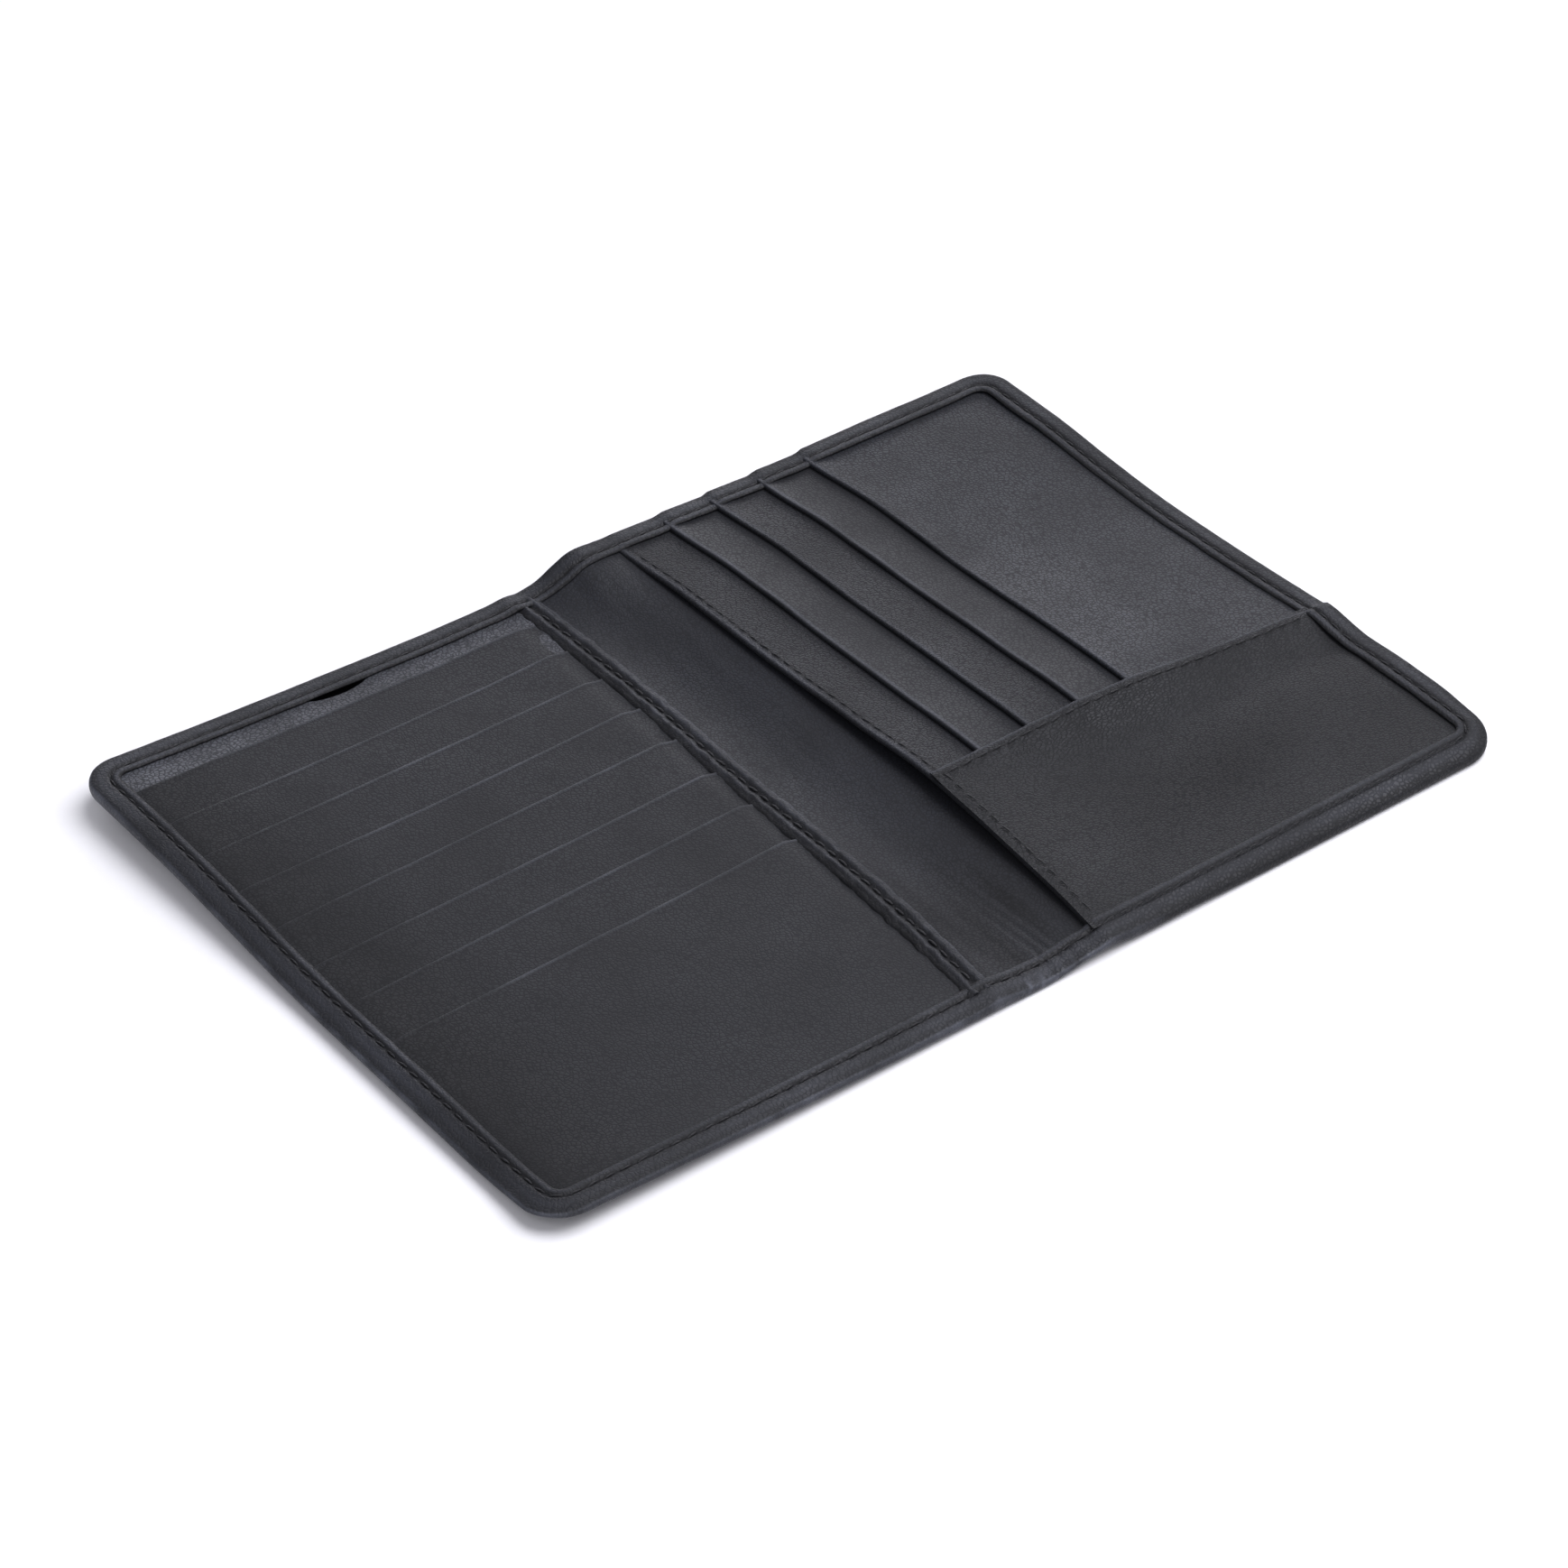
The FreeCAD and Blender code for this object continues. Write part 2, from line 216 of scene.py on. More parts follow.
BASE = height_map(
    (8, 14, 25, 37, 50, 62, 78, 108),
    (-76, -60, -45, -23, 0, 25, 50, 76),
    (
        (3.5, 3.3, 3.0, 2.9, 2.9, 2.9, 2.9, 3.1),
        (4.2, 4.4, 4.1, 3.9, 3.9, 3.9, 3.9, 3.9),
        (5.2, 5.7, 5.3, 5.0, 4.8, 4.7, 4.6, 4.4),
        (7.0, 7.5, 7.0, 6.8, 6.9, 6.1, 4.7, 3.1),
        (7.0, 7.2, 7.0, 6.8, 6.5, 5.9, 4.4, 2.5),
        (6.9, 7.0, 6.9, 6.5, 6.1, 5.4, 4.2, 3.0),
        (7.2, 7.3, 7.0, 6.5, 6.1, 5.8, 5.3, 4.9),
        (7.9, 7.8, 7.3, 6.7, 6.2, 6.0, 6.0, 6.0),
    ),
)
LAYER = 0.62  # what one folded pocket lip adds


def base_face(x, y):
    return BASE(x, y) + 0.08 * wobble(x, y, 5.0, 30.0)


print("lining at the middle", round(float(LINING(0, 0)[0]), 2), "base panel", round(float(base_face(50, 0)[0]), 2))

# %% [markdown]
# ## The pocket stack and the hem
# The side pockets climb in steps, and the turned-in edge runs over whatever lies beneath it. So the
# hem's face is worked out from the layers it covers, and it steps up and down with them.


# %% The pocket stack and the hem
def ticket_lean(x):
    """The ticket pocket's mouth runs a little out of square."""
    return TICKET_Y - 3.2 * ramp(x, 14.0, 100.0)


def side_stack(x, y):
    """Height that the four side pockets add, faded out below the ticket pocket's mouth."""
    steps = sum(ramp(x, edge - 1.6, 1.8) for edge in SIDE_EDGE_X)
    return LAYER * steps * (1.0 - ramp(-y, 27.0, 14.0))


def right_face(x, y):
    below_mouth = ramp(ticket_lean(x) - y, 0.0, 1.2)
    return base_face(x, y) + side_stack(x, y) + 0.62 * below_mouth


def hem_face(x, y):
    """The top of the turned-in edge, one skin above whatever it is stitched over."""
    far = ramp(y, 30.0, 40.0)
    left = card_plane(x, y) + 0.30 + 0.3 * far + 0.4 * np.exp(-(((x + 13.0) / 2.2) ** 2))
    spine = LINING(x, y) + 0.55
    right = right_face(x, y) + 0.30 + 0.4 * far + 0.8 * ramp(x, 100.0, 8.5)
    to_spine = ramp(x, -11.0, 3.5)
    to_right = ramp(x, 9.5, 4.0)
    return left * (1 - to_spine) + spine * to_spine * (1 - to_right) + right * to_right


print("far corner", round(float(hem_face(100, 74)[0]), 2), "near spine", round(float(hem_face(0, -74)[0]), 2))

# %% [markdown]
# ## Small tools
# `laid_grid` is the sheet of leather on the bench: `bmesh.ops.create_grid` makes it, and a laying
# function moves its points over the swells. `thicken` gives it the hide's thickness on its hidden
# side with `bmesh.ops.solidify`, and `finish_piece` turns the bench mesh into an object. A Solidify
# modifier would do too, but here the cut edges can be marked sharp, so that they stay crisp.


# %% Bench tools
CUT_EDGE = math.radians(55)


def laid_grid(bm, across, along, lay):
    made = bmesh.ops.create_grid(bm, x_segments=across, y_segments=along, size=1.0)
    verts = made["verts"]
    u = np.array([v.co.x for v in verts]) * 0.5 + 0.5
    w = np.array([v.co.y for v in verts]) * 0.5 + 0.5
    x, y, z = lay(u, w)
    for v, px, py, pz in zip(verts, x, y, z):
        v.co = (px * MM, py * MM, pz * MM)
    return verts


def thicken(bm, thickness):
    bm.normal_update()
    bmesh.ops.solidify(bm, geom=bm.faces[:], thickness=thickness * MM)
    bm.normal_update()
    for edge in bm.edges:
        edge.smooth = edge.calc_face_angle(0.0) < CUT_EDGE


def finish_piece(name, bm, material, thickness=None):
    if thickness:
        thicken(bm, thickness)
    mesh = bpy.data.meshes.new(name)
    for face in bm.faces:
        face.smooth = True
    bm.to_mesh(mesh)
    bm.free()
    piece = bpy.data.objects.new(name, mesh)
    bpy.context.scene.collection.objects.link(piece)
    mesh.materials.append(material)
    print(f"{name}: {len(mesh.polygons)} faces")
    return piece


# %% [markdown]
# ## Wear, painted light and bodies
# Handling rubs the folds and rims pale, and stitching presses the seams dark. Painted highlights on
# folds, ridges and lips, and painted shade and shadow under lips and in hollows, go the same way:
# each leather piece has a value at every point for all this in a point attribute, and the finishes
# read it. `follow` says which
# body a piece moves with. Pieces that end on the spine stay where they are laid, with no body of
# their own.


# %% Wear, painted light and bodies
def paint_wear_and_light(piece, values):
    """How each point was handled and lit: 1 is rubbed pale wear and painted highlight, 0 untouched, and -1 pressed
    dark into a seam and painted shade.
    """
    layer = piece.data.attributes.new("handling_and_painted_light", "FLOAT", "POINT")
    layer.data.foreach_set("value", np.clip(values, -1.0, 1.0).astype(np.float32))
    return piece


def line_at(distance, place, width):
    """A soft line of strength 1 at a distance, for a rubbed ridge or a pressed seam."""
    return np.exp(-(((distance - place) / width) ** 2))


def points(piece):
    return np.array([v.co for v in piece.data.vertices]).T / MM


def follow(piece, body):
    """Pieces that end on the spine stay where they are laid, with no body; all others ride on their half."""
    if body == "bend_left":
        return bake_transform(piece)
    if body == "bend_right":
        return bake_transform(piece)
    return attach(piece, body)


print("wear in the middle of a seam", float(line_at(4.1, 4.1, 0.3)))

# %% [markdown]
# ## Leather finishes
# Bovine leather dyed black and finished with a thin satin resin. What the eye sees is a fine net of
# creases round flat pebbles, a little tone drift from hide to hide, and a soft sheen that breaks up
# with the grain. The pattern is a Voronoi net bent by noise, and its creases are painted darker as
# painted shade. The colour goes a touch lighter where the piece is rubbed, on folds and on rims, and
# where painted highlights lie; it goes darker in seams and where painted shade lies.


# %% Colour and node helpers
def linear(hex_colour):
    channels = [int(hex_colour[i : i + 2], 16) / 255.0 for i in (1, 3, 5)]
    return (*[c / 12.92 if c <= 0.04045 else ((c + 0.055) / 1.055) ** 2.4 for c in channels], 1.0)


def add(tree, kind, settings=None, values=None, links=None):
    """Adds a node with its settings, its plain values and its links."""
    node = tree.nodes.new(kind)
    for key, value in (settings or {}).items():
        setattr(node, key, value)
    for key, value in (values or {}).items():
        node.inputs[key].default_value = value
    for key, socket in (links or {}).items():
        tree.links.new(socket, node.inputs[key])
    return node


def blank(name):
    material = bpy.data.materials.new(name)
    material.use_nodes = True
    material.node_tree.nodes.clear()
    return material, material.node_tree


print("black dye in linear values", [round(c, 4) for c in linear("#0d0e11")])

# %% [markdown]
# ## The leather recipe
# All the hides share one recipe and differ in grain, depth, gloss and dye. `pebble` is the grain's
# width and `relief` its depth, both in mm. `lines` says how strongly the grain runs in rows. Real
# calf pebbles are about 0.5 mm wide; these are drawn at 0.8 mm and more, so that they show.


# %% Leather recipe
def leather(name, dark_dye_and_crease_shade, face, rubbed_and_highlight, pebble, relief, rough, lines=0.0):
    material, tree = blank(name)
    place = add(tree, "ShaderNodeTexCoord").outputs["Object"]
    grain = 1 / (pebble * MM)

    # A Voronoi net, bent by noise and squeezed into rows, is the crease round each pebble.
    drift_values = {"Scale": 1 / (2.4 * pebble * MM), "Detail": 2.0}
    drift = add(tree, "ShaderNodeTexNoise", values=drift_values, links={"Vector": place})
    bent = add(
        tree,
        "ShaderNodeMixRGB",
        {"blend_type": "LINEAR_LIGHT"},
        {"Fac": 0.4 * pebble * MM},
        {"Color1": place, "Color2": drift.outputs["Color"]},
    )
    squeeze = {"Rotation": (0, 0, math.radians(24)), "Scale": (1.0, 1.0 + lines, 1.0)}
    rows = add(tree, "ShaderNodeMapping", values=squeeze, links={"Vector": bent.outputs["Color"]})
    to_edge = {"feature": "DISTANCE_TO_EDGE"}
    net = add(tree, "ShaderNodeTexVoronoi", to_edge, {"Scale": grain}, {"Vector": rows.outputs["Vector"]})
    crease_range = {"From Min": 0.0, "From Max": 0.22}
    crease = add(tree, "ShaderNodeMapRange", values=crease_range, links={"Value": net.outputs["Distance"]})

    # Pores are 0.28 mm apart, and the dye drifts over patches about 22 mm wide.
    fine = add(tree, "ShaderNodeTexNoise", values={"Scale": 1 / (0.28 * MM), "Detail": 3.0}, links={"Vector": place})
    patches = {"Scale": 1 / (22.0 * MM), "Detail": 4.0, "Roughness": 0.6}
    cloud = add(tree, "ShaderNodeTexNoise", values=patches, links={"Vector": place})
    tone_range = {"From Min": 0.3, "From Max": 0.72, "To Min": 0.25, "To Max": 1.0}
    tone = add(tree, "ShaderNodeMapRange", values=tone_range, links={"Value": cloud.outputs["Fac"]})
    # The darker dye fills the creases as painted shade, and also shows at random where the tone patches run low.
    both_links = {0: crease.outputs["Result"], 1: tone.outputs["Result"]}
    both = add(tree, "ShaderNodeMath", {"operation": "MULTIPLY"}, links=both_links)
    dye_values = {"Color1": linear(dark_dye_and_crease_shade), "Color2": linear(face)}
    dye = add(tree, "ShaderNodeMixRGB", values=dye_values, links={"Fac": both.outputs["Value"]})

    # Above zero the dye is rubbed pale and painted highlight in patches; below zero it is pressed dark and dull, for
    # seams and for painted shade and shadow.
    handling_and_painted_light = add(tree, "ShaderNodeAttribute", {"attribute_name": "handling_and_painted_light"}).outputs["Fac"]
    clamped = {"operation": "MULTIPLY", "use_clamp": True}
    patchy = add(tree, "ShaderNodeMath", clamped, links={0: handling_and_painted_light, 1: tone.outputs["Result"]})
    pressed_and_shaded = add(tree, "ShaderNodeMath", clamped, {1: -1.0}, {0: handling_and_painted_light})
    pale_links = {"Fac": patchy.outputs["Value"], "Color1": dye.outputs["Color"]}
    pale = add(tree, "ShaderNodeMixRGB", values={"Color2": linear(rubbed_and_highlight)}, links=pale_links)
    dark_links = {"Fac": pressed_and_shaded.outputs["Value"], "Color1": pale.outputs["Color"]}
    colour = add(tree, "ShaderNodeMixRGB", values={"Color2": linear("#060607")}, links=dark_links)
    dull_links = {0: both.outputs["Value"], 1: pressed_and_shaded.outputs["Value"]}
    dull = add(tree, "ShaderNodeMath", {"operation": "SUBTRACT"}, links=dull_links)
    gloss_range = {"From Min": -1.0, "To Min": 0.95, "To Max": rough - 0.05}
    gloss = add(tree, "ShaderNodeMapRange", values=gloss_range, links={"Value": dull.outputs["Value"]})

    height = add(
        tree,
        "ShaderNodeMath",
        {"operation": "MULTIPLY_ADD"},
        {1: 0.25},
        {0: fine.outputs["Fac"], 2: crease.outputs["Result"]},
    )
    bump_values = {"Strength": 1.0, "Distance": relief * MM}
    bump = add(tree, "ShaderNodeBump", values=bump_values, links={"Height": height.outputs["Value"]})
    shader = add(
        tree,
        "ShaderNodeBsdfPrincipled",
        values={"IOR": 1.5, "Specular IOR Level": 0.4, "Sheen Weight": 0.03, "Sheen Roughness": 0.4},
        links={
            "Base Color": colour.outputs["Color"],
            "Roughness": gloss.outputs["Result"],
            "Normal": bump.outputs["Normal"],
        },
    )
    add(tree, "ShaderNodeOutputMaterial", links={"Surface": shader.outputs["BSDF"]})
    return material


# Satin cowhide: a fine, clearly creased grain whose low sheen breaks up into small glints.
cover_leather = leather("satin_cover_cowhide", "#0d0e11", "#17181d", "#5c5f68", 0.85, 0.055, 0.52)
# Smooth calf: almost no grain, so the eye reads the folds and swells as long soft highlights.
pocket_leather = leather("smooth_pocket_calf", "#0f1014", "#181a1f", "#5a5d66", 0.8, 0.028, 0.48)
# Supple calf: a little paler and glossier, so that its wrinkles catch the light along the spine.
lining_leather = leather("supple_lining_calf", "#131418", "#25272d", "#5a5d66", 0.8, 0.032, 0.46)
# Rolled grain: the pebbles run in rows at a slant and deep, with painted shade dark between the crests.
grained_leather = leather("rolled_grain_calf", "#0b0c10", "#191b21", "#4c4f58", 0.95, 0.07, 0.5, 0.7)
# Tumbled grain: the same rows, dyed deepest, which gives the blackest panel of the wallet.
ticket_leather = leather("tumbled_grain_calf", "#090a0d", "#14161b", "#4c4f58", 0.95, 0.07, 0.52, 0.7)
# Printed split: a pale, worn print, a grey strip that sets the card pockets off from the hem.
back_leather = leather("printed_grain_split", "#232428", "#55575d", "#5c5f68", 0.95, 0.06, 0.48, 0.3)
# Fine pebbled calf: small even pebbles with a brighter gloss. Its face is dyed a lighter grey as a painted sheen,
# the silky grey it shows at a low angle.
pebbled_leather_painted_sheen = leather("fine_pebbled_calf_painted_sheen", "#121317", "#272a31", "#4c4f58", 0.85, 0.05, 0.44)
print("leathers:", [m.name for m in bpy.data.materials])

# %% [markdown]
# ## Thread and board
# The thread is bonded polyester with a twist whose strands are painted lighter in short dashes, as
# painted glints. The stiffener is bonded leather board, which is cut dull and fibrous.


# %% Thread and board
def thread_finish():
    """Bonded polyester thread, dyed black: a tight two-strand twist with a dull wax gloss."""
    material, tree = blank("waxed_polyester_thread")
    place = add(tree, "ShaderNodeTexCoord").outputs["Object"]
    wave = {"Scale": 1 / (1.6 * MM), "Distortion": 1.0}
    twist = add(tree, "ShaderNodeTexWave", {"bands_direction": "DIAGONAL"}, wave, {"Vector": place})
    # The lighter dashes along the twist are painted glints.
    dyes = {"Color1": linear("#08080a"), "Color2": linear("#1c1d21")}
    colour = add(tree, "ShaderNodeMixRGB", values=dyes, links={"Fac": twist.outputs["Fac"]})
    bump = add(tree, "ShaderNodeBump", values={"Distance": 0.05 * MM}, links={"Height": twist.outputs["Fac"]})
    shown = {"Base Color": colour.outputs["Color"], "Normal": bump.outputs["Normal"]}
    shader = add(tree, "ShaderNodeBsdfPrincipled", values={"Roughness": 0.62, "IOR": 1.5}, links=shown)
    add(tree, "ShaderNodeOutputMaterial", links={"Surface": shader.outputs["BSDF"]})
    return material


def board_finish():
    """Black bonded leather board, cut dull and fibrous; it only shows down inside the pockets."""
    material, tree = blank("bonded_leather_board")
    place = add(tree, "ShaderNodeTexCoord").outputs["Object"]
    fibre = add(tree, "ShaderNodeTexNoise", values={"Scale": 1 / (0.9 * MM), "Detail": 5.0}, links={"Vector": place})
    dyes = {"Color1": linear("#0c0c0e"), "Color2": linear("#1a1a1c")}
    colour = add(tree, "ShaderNodeMixRGB", values=dyes, links={"Fac": fibre.outputs["Fac"]})
    bump = add(tree, "ShaderNodeBump", values={"Distance": 0.04 * MM}, links={"Height": fibre.outputs["Fac"]})
    shown = {"Base Color": colour.outputs["Color"], "Normal": bump.outputs["Normal"]}
    shader = add(tree, "ShaderNodeBsdfPrincipled", values={"Roughness": 0.85, "IOR": 1.45}, links=shown)
    add(tree, "ShaderNodeOutputMaterial", links={"Surface": shader.outputs["BSDF"]})
    return material


thread = thread_finish()
board = board_finish()
print("made", thread.name, "and", board.name)

# %% [markdown]
# ## The cover skin
# The cover is one hide. Its edge is pared thin, folded over the rim and stitched down as the hem.
# The bottom starts as a grid pushed into rounded corners. Then the outline is extruded ring by ring
# round the rim and in over the top, which is just what the maker's bone folder does. The skin is
# made in two halves that meet on the middle line of the spine.


# %% Rounded outline
def round_off(x, y):
    """Pushes a square grid into the outline's round corners."""
    du = np.abs(x) - (HALF_X - CORNER)
    dv = np.abs(y) - (HALF_Y - CORNER)
    inside = (du > 0) & (dv > 0)
    reach = np.maximum(du, dv)
    with np.errstate(divide="ignore", invalid="ignore"):
        angle = np.where(du > dv, math.pi / 4 * dv / du, math.pi / 2 - math.pi / 4 * du / dv)
    x = np.where(inside, np.sign(x) * (HALF_X - CORNER + reach * np.cos(angle)), x)
    y = np.where(inside, np.sign(y) * (HALF_Y - CORNER + reach * np.sin(angle)), y)
    return x, y


def outward(x, y):
    """The direction that the outline faces at each point, square to its edge."""
    du = np.abs(x) - (HALF_X - CORNER)
    dv = np.abs(y) - (HALF_Y - CORNER)
    corner = (du > 1e-4) & (dv > 1e-4)
    length = np.hypot(du, dv) + 1e-9
    nx = np.where(corner, du / length, np.where(du > dv, 1.0, 0.0))
    ny = np.where(corner, dv / length, np.where(du > dv, 0.0, 1.0))
    return nx * np.sign(x), ny * np.sign(y)


def from_edge(x, y):
    """How far in from the outline each point is, round corners included."""
    du = np.abs(x) - (HALF_X - CORNER)
    dv = np.abs(y) - (HALF_Y - CORNER)
    straight = CORNER - np.maximum(du, dv)
    return np.where((du > 0) & (dv > 0), CORNER - np.hypot(du, dv), straight)


print("middle of the left edge is", float(from_edge(-HALF_X, 0.0)), "mm in")

# %% [markdown]
# ## The rim's profile
# Seen from its end, the rim is a soft round nose, then a flat hem with a groove where the stitches
# pull it down, a small ridge, and the pared edge. The rings below draw that profile. A bevel would
# give one even round all along, but the real rim gets thicker and thinner with what is inside it.


# %% The rim's profile
# Each ring is (distance in from the outline, share of the rim's height, lift over the hem's face).
RINGS = (
    (0.95, 0.02, 0.0),
    (0.45, 0.10, 0.0),
    (0.12, 0.28, 0.0),
    (0.0, 0.52, 0.0),
    (0.07, 0.76, 0.0),
    (0.28, 0.92, 0.0),
    (0.7, 1.0, 0.0),
    (1.4, 1.0, 0.04),
    (2.3, 1.0, 0.06),
    (3.1, 1.0, 0.05),
    (3.6, 1.0, -0.03),
    (3.9, 1.0, -0.30),
    (4.2, 1.0, -0.30),
    (4.45, 1.0, -0.03),
    (4.9, 1.0, 0.12),
    (5.4, 1.0, 0.11),
    (5.8, 1.0, -0.02),
    (6.0, 1.0, -0.20),
    (5.95, 1.0, -0.42),
    (5.4, 1.0, -0.5),
)
START_INSET = 1.7
STITCH_LINE = 4.05
INNER_EDGE = 6.0


def edge_drop(x, y):
    """How far the folded edge rounds down at the outline, least along the far edge."""
    far = ramp(y, 20.0, 40.0)
    near = ramp(-y, 58.0, 14.0)
    right = 0.5 * ramp(x, 95.0, 12.0) * (1 - far) * (1 - near)
    left = 0.45 * ramp(-x, 98.0, 10.0) * (1 - ramp(y, 50.0, 20.0))
    return 0.75 - 0.6 * far - right + left + 0.7 * near * ramp(x, 10.0, 20.0)


def rim_height(x, y, inset, share, lift):
    low = under(x, y)
    grown = hem_face(x, y) - edge_drop(x, y) * (1 - ramp(inset, 0.3, 4.4))
    run = x + y
    at_stitch = math.exp(-(((inset - 4.1) / 0.9) ** 2))
    pucker = wobble(run, 0 * run, 2.0, 5.5) * 0.03 + wobble(run, 0 * run, 6.0, 2.6) * 0.08 * at_stitch
    at_fold = np.exp(-(((x - 1.0) / 9.0) ** 2)) * (0.4 + 0.6 * (y < 0))
    pucker = pucker + 0.16 * at_fold * wobble(x, 0.3 * y, 8.0, 2.6) * ramp(inset, 0.2, 1.5)
    return low + (grown - low) * share + lift + pucker * (share >= 0.9) * (lift > -0.4)


print(len(RINGS), "rings round the rim")

# %% [markdown]
# ## Turning the edge
# `extrude_edge_only` pulls a new ring of faces out of the open edge, once for each line of the
# profile. The open edge on the middle line of the spine is left alone, because the other half of
# the skin meets it there.


# %% Turning the edge
def cover_half(name, side):
    bm = bmesh.new()

    def lay(u, w):
        far_out = HALF_X - START_INSET
        x = side * np.interp(1 - u if side < 0 else u, (0, 0.2, 1), (0, 12.0, far_out))
        y = (w * 2 - 1) * (HALF_Y - START_INSET)
        x, y = round_off(x, y)
        return x, y, under(x, y)

    laid_grid(bm, 96, 128, lay)
    bmesh.ops.reverse_faces(bm, faces=bm.faces[:])
    rim = [e for e in bm.edges if e.is_boundary and not all(abs(v.co.x) < 1e-7 for v in e.verts)]
    before = START_INSET
    for inset, share, lift in RINGS:
        made = bmesh.ops.extrude_edge_only(bm, edges=rim)["geom"]
        fresh = [g for g in made if isinstance(g, bmesh.types.BMVert)]
        new = set(fresh)
        rim = [g for g in made if isinstance(g, bmesh.types.BMEdge) and all(v in new for v in g.verts)]
        x = np.array([v.co.x for v in fresh]) / MM
        y = np.array([v.co.y for v in fresh]) / MM
        nx, ny = outward(np.where(np.abs(x) < 1e-3, side * 1e-3, x), y)
        nx = np.where(np.abs(x) < 1e-3, 0.0, nx)
        stray = 0.02 * wobble(x + y, 0 * x, 7.0, 9.0) * (inset > 4.0)
        x = x + nx * (before - inset + stray)
        y = y + ny * (before - inset + stray)
        z = rim_height(x, y, inset, share, lift)
        for v, px, py, pz in zip(fresh, x, y, z):
            v.co = (px * MM, py * MM, pz * MM)
        before = inset
    return finish_piece(name, bm, cover_leather, 0.3)


outer_left = cover_half("cover_skin_left", -1)
outer_right = cover_half("cover_skin_right", 1)

# %% [markdown]
# ## Wear and painted light on the cover
# The rim is rubbed pale, most where hands open the wallet, and carries a painted highlight along its
# edge; the hem's ridges are painted highlight too, and the right half's outline is painted darker.
# The near end of the spine is scuffed. The stitch line and the hem's inner edge are pressed dark.


# %% Wear and painted light on the cover
for half in (outer_left, outer_right):
    px, py, pz = points(half)
    gap = from_edge(px, py)
    on_top = pz > under(px, py) + 1.0
    seam = 0.85 * line_at(gap, STITCH_LINE, 0.26) + 0.9 * line_at(gap, INNER_EDGE, 0.2)
    # The hem's small ridge and its flat top are painted lighter, as painted highlight.
    ridge = 0.4 * line_at(gap, 5.2, 0.4) + 0.25 * line_at(gap, 2.4, 1.0)
    rubbed_and_highlight = (0.9 - 0.5 * ramp(px, 8.0, 20.0)) * (0.7 + 0.3 * wobble(px, py, 4.0, 6.0))
    # The outline is painted pale: rubbed wear and a painted highlight along the edge.
    rim = rubbed_and_highlight * line_at(gap, 0.2, 0.3)
    specks = np.clip(wobble(px, pz, 5.1, 1.9), 0.0, 1.0)
    scuffed = specks * line_at(px, -4.0, 8.0) * line_at(gap, 0.6, 1.1) * (py < 0)
    # Along the right half the outline is painted darker.
    rim = rim - 0.4 * ramp(px, 20.0, 12.0) * line_at(gap, 0.0, 0.8)
    paint_wear_and_light(half, rim + 0.9 * scuffed + (ridge - seam * (0.75 + 0.25 * wobble(px, py, 2.0, 2.4))) * on_top)
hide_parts("cover_left", "hem_left", "cover_spine", "hem_spine_far", "hem_spine_near")
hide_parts("cover_right", "hem_right")
follow(outer_left, "bend_left")
follow(outer_right, "bend_right")
print("cover edges are", round(float(edge_drop(-108.0, 0.0)), 2), "mm lower at the left rim")

# %% [markdown]
# ## Stiffener boards
# Thin board inside each half keeps the cover flat. It hardly shows, but it closes the hollow under
# the pockets, so the thumb notch looks into something real. It follows the lift of its half.


# %% Stiffeners
def plain_sheet(name, box, count, height, material, thickness):
    (x0, x1), (y0, y1) = box
    bm = bmesh.new()

    def lay(u, w):
        x = x0 + (x1 - x0) * u
        y = y0 + (y1 - y0) * w
        return x, y, height(x, y)

    laid_grid(bm, count[0], count[1], lay)
    return finish_piece(name, bm, material, thickness)


def board_face(x, y):
    return under(x, y) + 1.35


def right_board_face(x, y):
    return np.minimum(board_face(x, y), base_face(x, y) - 1.2)


BOARD_END = 71.5
board_left = plain_sheet(
    "board_left", ((-104, -10), (-BOARD_END, BOARD_END)), (60, 90), board_face, board, 0.4
)
board_right = plain_sheet(
    "board_right", ((12, 104), (-BOARD_END, BOARD_END)), (60, 90), right_board_face, board, 0.4
)
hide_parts("stiffener_left")
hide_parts("stiffener_right")
follow(board_left, "left_half")
follow(board_right, "right_half")

# %% [markdown]
# ## Folded edges
# A pocket mouth is a fold: the hide is turned under itself and pressed. `fold` walks a distance
# along that hide, from the tucked part, round the nose, and out over the top, and says where the
# hide is. A grid laid on it has a real lip with a dark gap beneath instead of a bare cut edge.


# %% Folded lip
def fold(walk, radius):
    """(distance in from the lip, height below the top) for a walk along the hide, 0 at the nose."""
    quarter = math.pi * radius / 2
    angle = np.clip(walk / radius, -math.pi / 2, math.pi / 2)
    inward = radius * (1 - np.cos(angle)) + np.maximum(np.abs(walk) - quarter, 0.0)
    drop = radius * (np.sin(angle) - 1.0)
    return inward, drop


def walk_along(u, tuck, radius, length):
    """Spends plenty of the grid's lines on the lip and few on the flat."""
    nose = math.pi * radius / 2
    return np.interp(u, (0, 0.10, 0.34, 0.50, 1), (-tuck, -nose - 0.2, nose, nose + 2.2, length))


print("a 0.5 mm lip drops", round(float(fold(-2.0, 0.5)[1]), 2), "mm to its tucked part")

# %% [markdown]
# ## Left half: back panel and card pockets
# The back panel shows as a narrow grained strip above the first pocket, with a thumb notch cut in
# its far edge. The eight card pockets overlap like roof tiles, each mouth a thread-thin pressed
# fold. The mouths fan slightly, as hand-set pockets do, so each one has its own left and right end.


# %% Back panel with the thumb notch
NOTCH_X = -54.5
NOTCH_HALF = 8.2
NOTCH_DEPTH = 3.7


